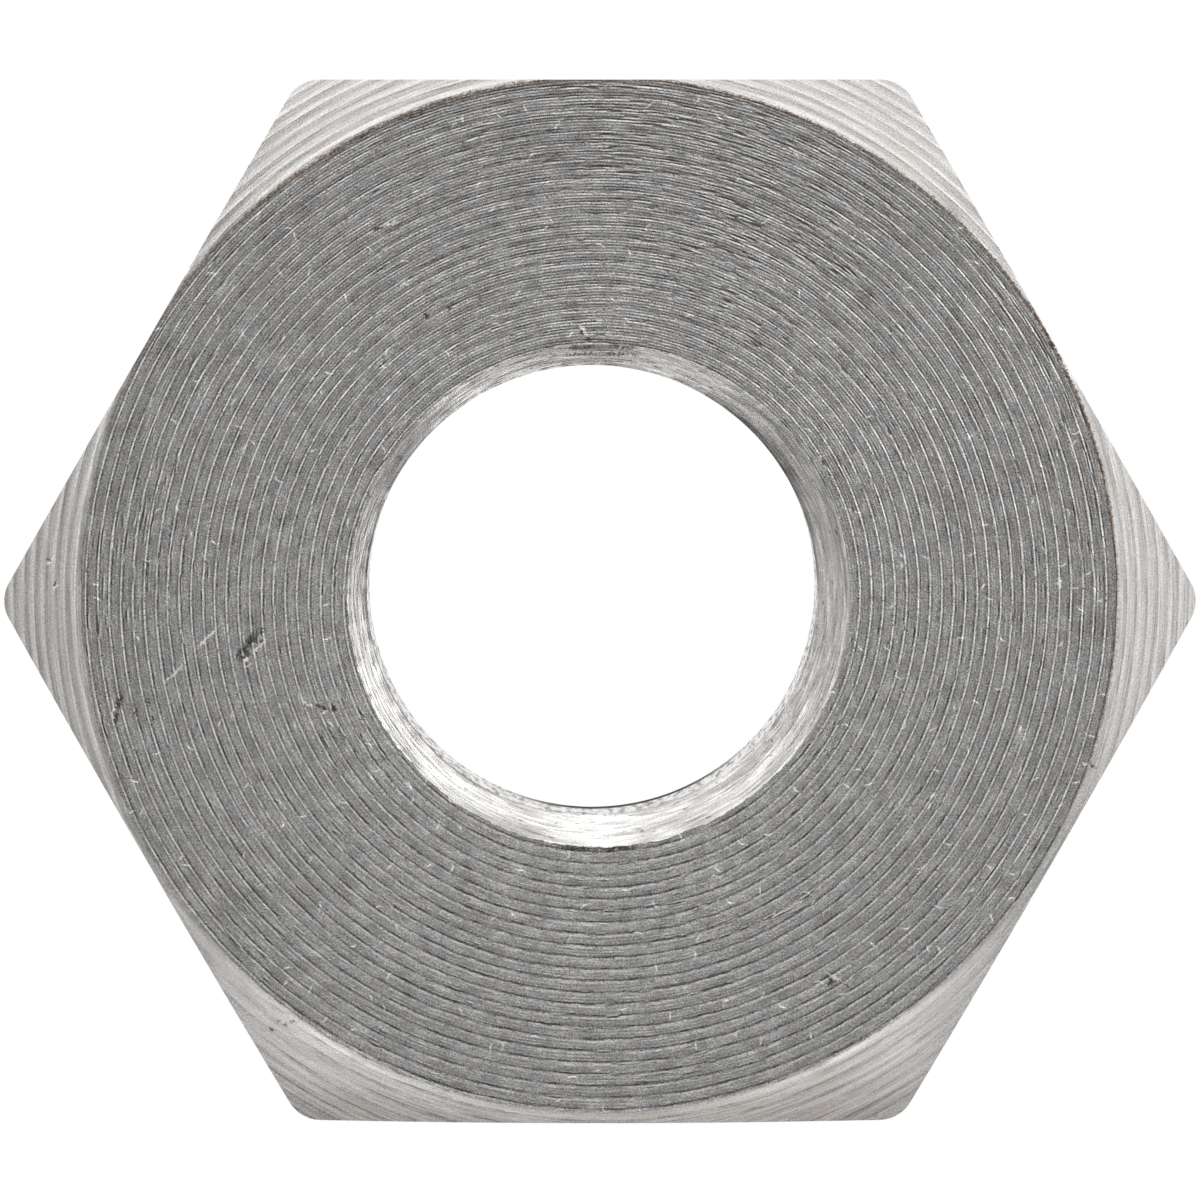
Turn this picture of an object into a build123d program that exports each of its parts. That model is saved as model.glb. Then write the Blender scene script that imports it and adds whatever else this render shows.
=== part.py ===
from build123d import *
import os
from math import cos, radians, tan

# Tube nut for an 8 mm compression tube fitting, turned from hexagon bar.
# It stands on its threaded end, its bores run along +Z, and the tube leaves through the upper face.
# The origin is the centre of the threaded end face, on the axis that the bores were turned on.
# All sizes are in millimetres and all angles in degrees.

# Hexagon bar, with two of its corners on the X axis.
across_flats = 19.0
bar_corner_radius = 0.65
bar_run_out = 0.1  # the bar's centre lies this far from the turning axis, towards -Y

# Turned ends. Each flat face is bounded by a chamfer cone, which cuts only the hexagon's corners.
nut_length = 16.5
tube_face_diameter = 18.85
thread_face_diameter = 18.1
chamfer_angle = 30.0  # between the cone and the flat face

# Thread, M16 x 1.5, modelled as a plain bore of the thread's inner diameter.
thread_major_diameter = 16.0
thread_pitch = 1.5
thread_mouth_clearance = 0.15  # the countersink's edge lies this far outside the thread's root
thread_mouth_angle = 120.0  # included
thread_bore_depth = 10.4

# Seat cone, which squeezes the cutting ring, and the bore that the tube passes through.
seat_angle = 90.0  # included
tube_bore_diameter = 8.2
tube_mouth_width = 0.475
tube_mouth_angle = 120.0  # included

# An ISO metric thread's inner diameter lies 1.0825 pitches inside its outer one.
thread_minor_diameter = thread_major_diameter - 1.0825 * thread_pitch


def cone_height(radial_width, included_angle):
    """Height of a cone whose radius changes by radial_width."""
    return radial_width / tan(radians(included_angle / 2))


# Radii of the turned profile.
tube_face_radius = tube_face_diameter / 2
thread_face_radius = thread_face_diameter / 2
thread_radius = thread_minor_diameter / 2
thread_mouth_radius = thread_major_diameter / 2 + thread_mouth_clearance
tube_bore_radius = tube_bore_diameter / 2
tube_mouth_radius = tube_bore_radius + tube_mouth_width

# The envelope that the ends are turned to reaches past the hexagon's corners.
envelope_radius = across_flats / 2 / cos(radians(30)) + bar_run_out
tube_chamfer_height = (envelope_radius - tube_face_radius) * tan(radians(chamfer_angle))
thread_chamfer_height = (envelope_radius - thread_face_radius) * tan(radians(chamfer_angle))

# Heights above the threaded end.
thread_mouth_top = cone_height(thread_mouth_radius - thread_radius, thread_mouth_angle)
seat_top = thread_bore_depth + cone_height(thread_radius - tube_bore_radius, seat_angle)
tube_mouth_bottom = nut_length - cone_height(tube_mouth_width, tube_mouth_angle)

with BuildPart() as nut:
    # The bar: a hexagon with the small corner radii of drawn stock.
    with BuildSketch() as bar_section:
        with Locations((0, -bar_run_out)):
            RegularPolygon(radius=across_flats / 2, side_count=6, major_radius=False)
        fillet(bar_section.vertices(), radius=bar_corner_radius)
    extrude(amount=nut_length)

    # Both ends are faced and chamfered, which leaves an arc on each flat below the face.
    with BuildSketch(Plane.XZ) as turned_envelope:
        with BuildLine():
            Polyline(
                (0, 0),
                (thread_face_radius, 0),
                (envelope_radius, thread_chamfer_height),
                (envelope_radius, nut_length - tube_chamfer_height),
                (tube_face_radius, nut_length),
                (0, nut_length),
                close=True,
            )
        make_face()
    revolve(axis=Axis.Z, mode=Mode.INTERSECT)

    # One stepped bore runs through: thread, seat cone, tube bore, and a countersink at each mouth.
    with BuildSketch(Plane.XZ) as bore_profile:
        with BuildLine():
            Polyline(
                (0, 0),
                (thread_mouth_radius, 0),
                (thread_radius, thread_mouth_top),
                (thread_radius, thread_bore_depth),
                (tube_bore_radius, seat_top),
                (tube_bore_radius, tube_mouth_bottom),
                (tube_mouth_radius, nut_length),
                (0, nut_length),
                close=True,
            )
        make_face()
    revolve(axis=Axis.Z, mode=Mode.SUBTRACT)

nut.part.label = "nut"

os.makedirs("parts", exist_ok=True)
export_step(nut.part, "parts/nut.step")
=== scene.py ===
"""Looks of a tube nut for an 8 mm compression fitting: bare free-cutting steel, turned from hexagon bar."""

import logging
import math
from dataclasses import dataclass, field
from enum import Enum

import bpy
import numpy as np
from mathutils import Matrix, Vector, noise

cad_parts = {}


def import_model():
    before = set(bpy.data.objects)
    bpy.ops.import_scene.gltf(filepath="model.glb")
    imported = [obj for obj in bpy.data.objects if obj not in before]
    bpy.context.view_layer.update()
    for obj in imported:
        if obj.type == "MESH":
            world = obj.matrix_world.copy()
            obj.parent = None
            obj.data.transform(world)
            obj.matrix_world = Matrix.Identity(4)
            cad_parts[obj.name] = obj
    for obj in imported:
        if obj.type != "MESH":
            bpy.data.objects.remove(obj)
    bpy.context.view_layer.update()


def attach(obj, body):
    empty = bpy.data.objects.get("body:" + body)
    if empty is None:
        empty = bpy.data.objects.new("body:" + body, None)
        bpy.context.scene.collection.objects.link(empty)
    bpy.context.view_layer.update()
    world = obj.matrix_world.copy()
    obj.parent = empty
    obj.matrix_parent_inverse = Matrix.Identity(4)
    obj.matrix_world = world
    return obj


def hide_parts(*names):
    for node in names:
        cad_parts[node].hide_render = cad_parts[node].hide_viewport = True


MM = 0.001
MICRON = 0.000001
FULL_TURN = 2 * math.pi

# The section is spun through one sector, one column of vertices to a degree, which is then copied round.
SECTORS = 12
COLUMNS_PER_SECTOR = 30

log = logging.getLogger("tube_nut")


class Zone(Enum):
    """Surfaces of the nut that were made in different ways. The value is the material slot's number."""

    FACED = 0
    CHAMFERED = 1
    COUNTERSUNK = 2
    BORED = 3
    THREADED = 4
    DRAWN = 5
    MARKED_FACED = 6
    MARKED_CHAMFERED = 7
    MARKED_COUNTERSUNK = 8


def srgb(hex_colour: str) -> tuple[float, float, float, float]:
    """Turns an sRGB hex colour into a linear one.

    Args:
        hex_colour: six hexadecimal digits, such as "c4c3c1".

    Returns:
        Linear red, green, blue and an alpha of 1.
    """
    channels = [int(hex_colour[k:k + 2], 16) / 255 for k in (0, 2, 4)]
    linear = [c / 12.92 if c <= 0.04045 else ((c + 0.055) / 1.055) ** 2.4 for c in channels]
    return (*linear, 1.0)


def add_node(tree: bpy.types.NodeTree, kind: str, inputs: dict | None = None, **settings) -> bpy.types.Node:
    """Adds a node with its settings and links.

    Args:
        tree: the material's or the world's node tree.
        kind: the node's type, without its "ShaderNode" prefix.
        inputs: for each input, by name or number, the socket it is linked to or its value.
        **settings: the node's own properties.

    Returns:
        The new node.
    """
    node = tree.nodes.new("ShaderNode" + kind)
    for name, value in settings.items():
        setattr(node, name, value)
    for name, source in (inputs or {}).items():
        if isinstance(source, bpy.types.NodeSocket):
            tree.links.new(source, node.inputs[name])
        else:
            node.inputs[name].default_value = source
    return node


def deselect_everything() -> None:
    """Leaves edit mode and deselects all objects, so that an operator acts only on what is chosen next."""
    if bpy.context.object and bpy.context.object.mode != "OBJECT":
        bpy.ops.object.mode_set(mode="OBJECT")
    bpy.ops.object.select_all(action="DESELECT")


@dataclass(frozen=True)
class Mark:
    """A straight scratch, gouge, tear or burr on the tube's end of the nut.

    Places are in millimetres from the turning axis, the width is half the mark's width, and the rise is in
    millimetres, below zero where metal is missing. The tone is 0 for dark torn metal and 1 for bright.
    """

    start: tuple[float, float]
    end: tuple[float, float]
    width: float
    rise: float
    tone: float

    @property
    def radius(self) -> float:
        """Distance of the mark's middle from the turning axis."""
        return math.hypot(self.start[0] + self.end[0], self.start[1] + self.end[1]) / 2

    def gap(self, points: np.ndarray) -> np.ndarray:
        """Distances of points from the mark's middle line.

        Args:
            points: rows of X and Y in millimetres.

        Returns:
            Distances in millimetres.
        """
        start, run = np.array(self.start), np.array(self.end) - np.array(self.start)
        offset = points - start
        share = np.clip(offset @ run / (run @ run), 0.0, 1.0)
        return np.linalg.norm(offset - share[:, None] * run, axis=1)


# The larger marks on the tube's end.
MARKS = (
    Mark((-6.54, -1.17), (-6.36, -0.89), 0.091, -0.016, 0.0),
    Mark((-6.40, -0.95), (-6.23, -0.69), 0.073, -0.014, 0.0),
    Mark((-6.23, -0.69), (-6.11, -0.60), 0.055, -0.01, 0.0),
    Mark((-6.27, -1.02), (-6.07, -0.77), 0.040, -0.01, 0.0),
    Mark((-6.29, -1.04), (-6.03, -0.77), 0.024, 0.01, 1.0),
    Mark((-6.45, -1.17), (-6.38, -1.15), 0.027, 0.006, 1.0),
    Mark((-8.69, -1.80), (-8.76, -2.07), 0.047, -0.014, 0.0),
    Mark((-8.76, -2.07), (-8.80, -2.33), 0.040, -0.012, 0.0),
    Mark((-8.42, -2.04), (-8.40, -2.18), 0.033, -0.01, 0.0),
    Mark((-8.83, -2.04), (-8.85, -2.24), 0.018, 0.006, 1.0),
    Mark((-8.22, -1.86), (-8.18, -2.02), 0.025, -0.008, 0.0),
    Mark((-8.14, -2.15), (-8.11, -2.29), 0.022, -0.008, 0.0),
    Mark((-5.22, -1.98), (-4.87, -2.06), 0.020, -0.006, 0.0),
    Mark((-5.40, -1.93), (-5.20, -2.02), 0.022, 0.006, 1.0),
    Mark((-4.82, -1.98), (-4.83, -2.11), 0.036, -0.008, 0.0),
    Mark((-6.85, -0.49), (-7.34, -0.98), 0.018, -0.003, 1.0),
    Mark((-7.53, -1.24), (-7.92, -1.60), 0.015, -0.003, 1.0),
    Mark((-4.11, 6.63), (-3.92, 6.71), 0.029, -0.01, 0.0),
    Mark((-3.91, 6.73), (-3.63, 6.80), 0.018, 0.004, 1.0),
    Mark((-4.12, 5.83), (-3.80, 6.04), 0.024, -0.006, 0.0),
    Mark((8.37, 0.34), (8.38, 0.11), 0.029, 0.006, 1.0),
    Mark((8.55, 0.14), (8.73, 0.14), 0.015, 0.003, 1.0),
    Mark((9.07, -0.11), (9.17, -0.07), 0.018, 0.004, 1.0),
    Mark((8.78, -2.98), (9.07, -3.15), 0.018, -0.01, 0.0),
    Mark((8.78, -3.02), (8.93, -3.09), 0.022, 0.004, 1.0),
    Mark((4.09, -6.84), (4.49, -7.06), 0.015, 0.003, 1.0),
    Mark((4.44, -7.04), (4.60, -7.15), 0.015, -0.004, 0.0),
    Mark((4.18, -7.06), (4.28, -7.00), 0.044, -0.006, 0.0),
    Mark((-0.34, 4.91), (-0.27, 4.82), 0.027, 0.008, 1.0),
    Mark((-0.27, 4.82), (-0.20, 4.71), 0.018, 0.006, 1.0),
    Mark((-0.29, 4.89), (-0.31, 4.73), 0.025, -0.006, 0.0),
    Mark((-0.20, 4.69), (-0.16, 4.63), 0.022, -0.006, 0.0),
    Mark((8.17, 4.60), (8.29, 4.49), 0.051, -0.012, 0.0),
    Mark((8.04, 4.91), (8.17, 4.69), 0.029, -0.008, 0.0),
    Mark((8.31, 4.43), (8.42, 4.27), 0.025, -0.008, 0.0),
    Mark((8.46, 4.14), (8.62, 3.78), 0.024, -0.006, 0.0),
    Mark((-3.18, 5.14), (-3.11, 5.05), 0.033, -0.008, 0.0),
    Mark((-2.76, 5.22), (-2.67, 5.27), 0.025, -0.006, 0.0),
    Mark((-5.87, -7.73), (-5.82, -7.78), 0.024, -0.01, 0.0),
    Mark((-5.62, -7.76), (-5.54, -7.76), 0.024, -0.01, 0.0),
    Mark((-6.00, -7.89), (-5.94, -7.95), 0.029, -0.01, 0.0),
    Mark((-5.72, -7.80), (-5.71, -7.84), 0.018, -0.006, 0.0),
    Mark((-10.07, 0.56), (-9.96, 0.60), 0.016, 0.006, 1.0),
    Mark((-9.94, 0.64), (-9.93, 0.73), 0.015, 0.005, 1.0),
    Mark((-10.05, 0.65), (-9.98, 0.64), 0.022, -0.006, 0.0),
    Mark((-9.94, 0.09), (-9.85, 0.22), 0.018, 0.006, 1.0),
    Mark((-9.91, 0.22), (-9.89, 0.16), 0.024, -0.006, 0.0),
    Mark((-0.60, 4.50), (0.02, 4.54), 0.029, -0.004, 0.0),
    Mark((0.02, 4.54), (0.75, 4.51), 0.029, -0.004, 0.0),
    Mark((-0.71, 4.36), (0.02, 4.41), 0.024, -0.004, 0.0),
    Mark((0.02, 4.41), (0.75, 4.38), 0.022, -0.004, 0.0),
    Mark((-0.78, -4.57), (0.02, -4.63), 0.036, -0.004, 0.0),
    Mark((0.02, -4.63), (0.75, -4.58), 0.036, -0.004, 0.0),
    Mark((-2.67, -3.06), (-2.45, -3.18), 0.029, -0.01, 0.0),
)


@dataclass(frozen=True)
class FeedMarks:
    """The spiral that a turning tool leaves: one ridge and groove for each turn of the part.

    Sizes are in millimetres. A profile point is a share of the feed and a height above the band.
    """

    feed: float
    first_crest: float
    profile: tuple[tuple[float, float], ...]
    unevenness: float = 0.4

    # Waves whose sum makes the marks uneven: how many go round the axis, and how many radians each shifts
    # in a millimetre, so that neighbouring turns of the spiral differ.
    waves = ((7, 2.1), (13, 9.7), (23, 17.3), (37, 31.9), (59, 45.1), (97, 71.3))

    def shares(self) -> np.ndarray:
        """Shares of the feed at which the profile has its points."""
        return np.array([share for share, _ in self.profile])

    def height(self, along: np.ndarray, turn: np.ndarray) -> np.ndarray:
        """Height of the surface above the plain band.

        Args:
            along: distance from the band's start, in millimetres.
            turn: angle about the axis, in turns.

        Returns:
            Heights in millimetres.
        """
        share = ((along - self.first_crest) / self.feed - turn) % 1.0
        heights = np.array([height for _, height in self.profile])
        waves = [np.sin(FULL_TURN * count * turn + shift * along + count) for count, shift in self.waves]
        swell = sum(waves) / math.sqrt(len(self.waves) / 2)
        return np.interp(share, self.shares(), heights, period=1.0) * (1.0 + self.unevenness * swell)

    def stations(self, length: float) -> np.ndarray:
        """Rows of vertices across a band, at angle 0.

        They start a feed before the band, because the spiral carries each row outwards by a feed in a turn.

        Args:
            length: the band's width in millimetres.

        Returns:
            Distances from the band's start, rising.
        """
        first = math.floor((-self.feed - self.first_crest) / self.feed)
        last = math.ceil((length - self.first_crest) / self.feed)
        crests = self.first_crest + self.feed * np.arange(first, last + 1)
        rows = np.sort((crests[:, None] + self.feed * self.shares()[None, :]).ravel())
        return rows[(rows > -self.feed) & (rows < length)]


@dataclass(frozen=True)
class Band:
    """One straight stretch of the turned section, from one corner of it to the next.

    Sizes are in millimetres. Corners are given as radius and height. The metal lies on the band's right
    when one looks from its start to its end with the axis on the left.
    """

    start: tuple[float, float]
    end: tuple[float, float]
    marks: FeedMarks | None = None
    inner_rows: int = 0
    edge_fade: float = 0.06
    snap: float = 0.006

    @property
    def length(self) -> float:
        """Width of the band, measured along the section."""
        return math.dist(self.start, self.end)

    def stations(self) -> np.ndarray:
        """Distances from the band's start at which it has rows, its start among them and its end not."""
        if self.marks:
            return np.concatenate(([-self.marks.feed], self.marks.stations(self.length)))
        return self.length * np.arange(self.inner_rows + 1) / (self.inner_rows + 1)

    def place(self, station: np.ndarray, turn: np.ndarray) -> tuple[np.ndarray, np.ndarray]:
        """Lays rows on the band.

        Args:
            station: distance of each row from the band's start at angle 0.
            turn: angle about the axis, in turns.

        Returns:
            Radius and height of each vertex.
        """
        along = station
        rise = np.zeros_like(along)
        if self.marks:
            along = along + self.marks.feed * turn
            along = np.where(along < self.snap, 0.0, along)
            along = np.where(along > self.length - self.snap, self.length, along)
            fade = np.clip(np.minimum(along, self.length - along) / self.edge_fade, 0.0, 1.0)
            rise = self.marks.height(along, turn) * fade
        step_r = (self.end[0] - self.start[0]) / self.length
        step_z = (self.end[1] - self.start[1]) / self.length
        radius = self.start[0] + step_r * along - step_z * rise
        height = self.start[1] + step_z * along + step_r * rise
        return radius, height


@dataclass(frozen=True)
class ThreadBand(Band):
    """The tapped bore: a right-handed metric thread, from a countersink to its run-out before the seat."""

    pitch: float = 1.5
    minor_radius: float = 7.188
    major_radius: float = 8.0
    mouth_radius: float = 8.15
    mouth_height: float = 0.555
    run_out_start: float = 8.6
    run_out_end: float = 9.9

    # Shares of the pitch at which the crest, the flank and the root meet, with the depth there as a share.
    outline = ((0.0, 0.0), (0.25, 0.0), (0.40, 0.48), (0.5625, 1.0), (0.6875, 1.0), (0.84, 0.512))

    def stations(self) -> np.ndarray:
        """Distances from the bore's mouth at which it has rows."""
        shares = np.array([share for share, _ in self.outline])
        turns = np.arange(-1, math.ceil(self.length / self.pitch))
        rows = np.sort((self.pitch * (turns[:, None] + shares[None, :])).ravel())
        rows = rows[(rows > -self.pitch) & (rows < self.length)]
        return np.concatenate(([-self.pitch], rows))

    def place(self, station: np.ndarray, turn: np.ndarray) -> tuple[np.ndarray, np.ndarray]:
        """Lays rows on the thread. Each row climbs by a pitch in a turn, as a helix does."""
        along = station + self.pitch * turn
        along = np.clip(along, 0.0, self.length)
        along = np.where(along > self.length - 0.02, self.length, along)
        share = (along / self.pitch - turn) % 1.0
        depth = np.interp(share, *np.array(self.outline).T, period=1.0)
        run_out = np.clip((self.run_out_end - along) / (self.run_out_end - self.run_out_start), 0.0, 1.0)
        thread = self.minor_radius + (self.major_radius - self.minor_radius) * depth * run_out
        slope = (self.mouth_radius - self.minor_radius) / self.mouth_height
        countersink = self.mouth_radius - slope * along
        return np.maximum(thread, countersink), along


@dataclass
class HexagonBar:
    """The drawn bar that the nut is turned from. Sizes are in millimetres."""

    across_flats: float = 19.0
    corner_radius: float = 0.65
    corner_cuts: int = 8
    run_out: tuple[float, float] = (0.02, -0.12)

    def cut(self) -> None:
        """Cuts the flats and the round corners of the bar out of the mesh in edit mode, all at a time."""
        for flat in range(6):
            self._cut_plane(30 + 60 * flat, self.across_flats / 2)
        corner_centre = (self.across_flats / 2 - self.corner_radius) / math.cos(math.radians(30))
        for corner in range(6):
            for step in range(1, self.corner_cuts):
                lean = 60 * step / self.corner_cuts - 30
                reach = corner_centre * math.cos(math.radians(lean)) + self.corner_radius
                self._cut_plane(60 * corner + lean, reach)

    def _cut_plane(self, direction: float, reach: float) -> None:
        """Cuts away what lies beyond an upright plane and closes the cut.

        Args:
            direction: where the plane faces, in degrees from +X.
            reach: the plane's distance from the bar's centre.
        """
        facing = Vector((math.cos(math.radians(direction)), math.sin(math.radians(direction)), 0.0))
        centre = Vector((*self.run_out, 0.0))
        bpy.ops.mesh.select_all(action="SELECT")
        bpy.ops.mesh.bisect(
            plane_co=(centre + facing * reach) * MM,
            plane_no=facing,
            use_fill=True,
            clear_outer=True,
            threshold=0.01 * MICRON,
        )


@dataclass
class TubeNut:
    """The whole nut, one piece. Sizes are in millimetres, heights are above the threaded end."""

    name: str = "tube_nut"
    bar: HexagonBar = field(default_factory=HexagonBar)
    nut_length: float = 16.5
    tube_face_radius: float = 9.425
    thread_face_radius: float = 9.05
    envelope_radius: float = 11.07
    chamfer_angle: float = 30.0
    thread_bore_depth: float = 10.4
    tube_bore_radius: float = 4.1
    tube_mouth_width: float = 0.475
    tube_mouth_angle: float = 120.0
    bore_run_out: tuple[float, float] = (-0.127, 0.093)
    chamfer_phase: float = 0.0
    sharp_angle: float = 9.0

    # Surfaces are told apart by these: how far out the flats begin, how far in the seat and the tube bore
    # lie, and how deep the marks of a faced end go.
    flat_reach: float = 9.3
    seat_reach: float = 6.8
    face_depth: float = 0.03

    # Wear: how far the surface wanders and an edge is torn, and how many swells to a millimetre each has.
    wander: float = 0.002
    broad_swells: float = 1.6
    fine_swells: float = 5.0
    ragged_edge: float = 0.035
    face_tears: float = 9.0
    bore_tears: float = 6.0
    wear_seed: int = 7

    # The placed marks reach this far down from the tube's end, and the scarred finish this far round them.
    marked_depth: float = 1.2
    mark_margin: float = 0.18

    def section(self) -> list[Band]:
        """The turned section, as bands in one closed loop from the tube bore's mouth outwards."""
        rise = math.tan(math.radians(self.chamfer_angle))
        tube_edge = self.nut_length - (self.envelope_radius - self.tube_face_radius) * rise
        thread_edge = (self.envelope_radius - self.thread_face_radius) * rise
        mouth = self.mouth_radius
        thread_mouth = ThreadBand.mouth_radius
        thread = ThreadBand(start=(thread_mouth, 0.0), end=(thread_mouth, self.thread_bore_depth))
        seat_top = self.thread_bore_depth + thread.minor_radius - self.tube_bore_radius
        facing = FeedMarks(
            feed=0.2134,
            first_crest=0.169,
            profile=(
                (0.0, -0.0010),
                (0.11, -0.0022),
                (0.30, -0.0019),
                (0.52, -0.0013),
                (0.70, -0.0006),
                (0.85, 0.0),
            ),
        )
        chamfering = FeedMarks(
            feed=0.2236,
            first_crest=self.chamfer_phase,
            profile=((0.0, -0.0058), (0.12, -0.0020), (0.5, 0.0011), (0.88, -0.0039)),
        )
        top = self.nut_length
        bore = self.tube_bore_radius
        return [
            Band((mouth, top), (self.tube_face_radius, top), facing),
            Band((self.tube_face_radius, top), (self.envelope_radius, tube_edge), chamfering),
            Band((self.envelope_radius, tube_edge), (self.envelope_radius, thread_edge)),
            Band((self.envelope_radius, thread_edge), (self.thread_face_radius, 0.0), chamfering),
            Band((self.thread_face_radius, 0.0), (thread.mouth_radius, 0.0), facing),
            thread,
            Band((thread.minor_radius, self.thread_bore_depth), (bore, seat_top), inner_rows=5),
            Band((bore, seat_top), (bore, self.mouth_bottom), inner_rows=3),
            Band((bore, self.mouth_bottom), (mouth, top), inner_rows=3),
        ]

    @property
    def mouth_radius(self) -> float:
        """Radius of the countersink's edge on the tube's end face."""
        return self.tube_bore_radius + self.tube_mouth_width

    @property
    def mouth_bottom(self) -> float:
        """Height at which the tube bore's countersink begins."""
        return self.nut_length - self.tube_mouth_width / math.tan(math.radians(self.tube_mouth_angle / 2))

    def build(self) -> bpy.types.Object:
        """Models the nut in one mesh: section, spin, feed marks and thread, run-out, hexagon.

        Returns:
            The finished object, at the origin.
        """
        bands = self.section()
        stations = [band.stations() for band in bands]
        rows = sum(len(station) for station in stations)
        deselect_everything()
        bpy.ops.mesh.primitive_circle_add(
            vertices=rows, radius=self.tube_face_radius * MM, fill_type="NOTHING"
        )
        nut = bpy.context.object
        nut.name = nut.data.name = self.name
        self._lay_rows(nut.data, bands, stations, np.zeros(1))
        self._spin(nut)
        sector, column = np.divmod(np.arange(SECTORS * (COLUMNS_PER_SECTOR + 1)), COLUMNS_PER_SECTOR + 1)
        turns = (sector + column / COLUMNS_PER_SECTOR) / SECTORS
        self._lay_rows(nut.data, bands, stations, turns)
        bpy.ops.object.mode_set(mode="EDIT")
        bpy.ops.mesh.select_all(action="SELECT")
        bpy.ops.mesh.remove_doubles(threshold=0.01 * MICRON)
        bpy.ops.mesh.normals_make_consistent(inside=False)
        bpy.ops.object.mode_set(mode="OBJECT")
        self._wear(nut.data)
        bpy.ops.object.mode_set(mode="EDIT")
        self.bar.cut()
        bpy.ops.mesh.select_all(action="SELECT")
        bpy.ops.mesh.dissolve_degenerate(threshold=0.02 * MICRON)
        bpy.ops.object.mode_set(mode="OBJECT")
        bpy.ops.object.shade_smooth_by_angle(angle=math.radians(self.sharp_angle))
        mesh = nut.data
        log.info("%s: %d vertices, %d faces", self.name, len(mesh.vertices), len(mesh.polygons))
        return nut

    def _lay_rows(
        self, mesh: bpy.types.Mesh, bands: list[Band], stations: list[np.ndarray], turns: np.ndarray
    ) -> None:
        """Moves the vertices of each column to their places on the section.

        Args:
            mesh: the section, or the section spun into columns.
            bands: the section's bands.
            stations: each band's rows.
            turns: angle of each column, in turns.
        """
        places = []
        for band, station in zip(bands, stations):
            stations_everywhere, turns_everywhere = np.meshgrid(station, turns)
            places.append(np.stack(band.place(stations_everywhere, turns_everywhere), axis=-1))
        section = np.concatenate(places, axis=1)
        angle = FULL_TURN * turns[:, None]
        radius, height = section[..., 0], section[..., 1]
        points = np.stack([radius * np.cos(angle), radius * np.sin(angle), height], axis=-1)
        mesh.vertices.foreach_set("co", (points.reshape(-1) * MM).astype(np.float32))
        mesh.update()

    def _spin(self, nut: bpy.types.Object) -> None:
        """Spins the section through one sector and copies that sector round the axis."""
        sector_angle = FULL_TURN / SECTORS
        bpy.ops.object.mode_set(mode="EDIT")
        bpy.ops.mesh.select_all(action="SELECT")
        bpy.ops.mesh.spin(
            steps=COLUMNS_PER_SECTOR,
            angle=sector_angle,
            center=(0, 0, 0),
            axis=(0, 0, -1),
            use_auto_merge=False,
        )
        bpy.ops.mesh.select_all(action="SELECT")
        bpy.ops.mesh.spin(
            steps=SECTORS - 1,
            angle=sector_angle * (SECTORS - 1),
            dupli=True,
            center=(0, 0, 0),
            axis=(0, 0, -1),
            use_auto_merge=False,
        )
        bpy.ops.object.mode_set(mode="OBJECT")

    def _wear(self, mesh: bpy.types.Mesh) -> None:
        """Makes the surface waver by microns, tears its edges and sets the drilled bore off the axis."""
        noise.seed_set(self.wear_seed)
        seat_rise = 3.0
        for vertex in mesh.vertices:
            place = vertex.co / MM
            drift = noise.noise_vector(place * self.broad_swells) * self.wander
            drift += noise.noise_vector(place * self.fine_swells) * self.wander * 0.5
            radius = math.hypot(place.x, place.y)
            if radius < self.seat_reach and place.z > self.thread_bore_depth:
                climb = min(1.0, (place.z - self.thread_bore_depth) / seat_rise)
                mouth = max(0.0, (radius - self.tube_bore_radius) / self.tube_mouth_width)
                share = climb * (1.0 - mouth if place.z > self.mouth_bottom else 1.0)
                if place.z > self.nut_length - 0.02:
                    share = 0.0
                drift += Vector((*self.bore_run_out, 0.0)) * max(0.0, share)
            edge_gap = min(abs(radius - self.tube_face_radius), 2 * abs(radius - self.mouth_radius))
            if edge_gap < 0.12 and place.z > self.nut_length - 0.2:
                tear = noise.noise_vector(place * self.face_tears) * self.ragged_edge
                drift += Vector((tear.x, tear.y, 0.0))
            if radius < self.tube_bore_radius + 0.02 and abs(place.z - self.mouth_bottom) < 0.02:
                drift.z += noise.noise(place * self.bore_tears) * self.ragged_edge
            if place.z < 0.1 or place.z > self.nut_length - 0.05:
                drift.z = min(drift.z, 0.0) if place.z > 1.0 else max(drift.z, 0.0)
            vertex.co = (place + drift) * MM
        self._mark(mesh)

    def _mark(self, mesh: bpy.types.Mesh) -> None:
        """Presses the marks into the tube's end, or raises them where they are burrs."""
        flat = np.empty(3 * len(mesh.vertices), np.float32)
        mesh.vertices.foreach_get("co", flat)
        points = flat.reshape(-1, 3).astype(float)
        upper = points[:, 2] > (self.nut_length - self.marked_depth) * MM
        for mark in MARKS:
            inside = np.clip(1.0 - mark.gap(points[:, :2] / MM) / (1.5 * mark.width), 0.0, 1.0) * upper
            points[:, 2] += mark.rise * inside * MM
        mesh.vertices.foreach_set("co", points.astype(np.float32).ravel())
        mesh.update()

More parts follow.
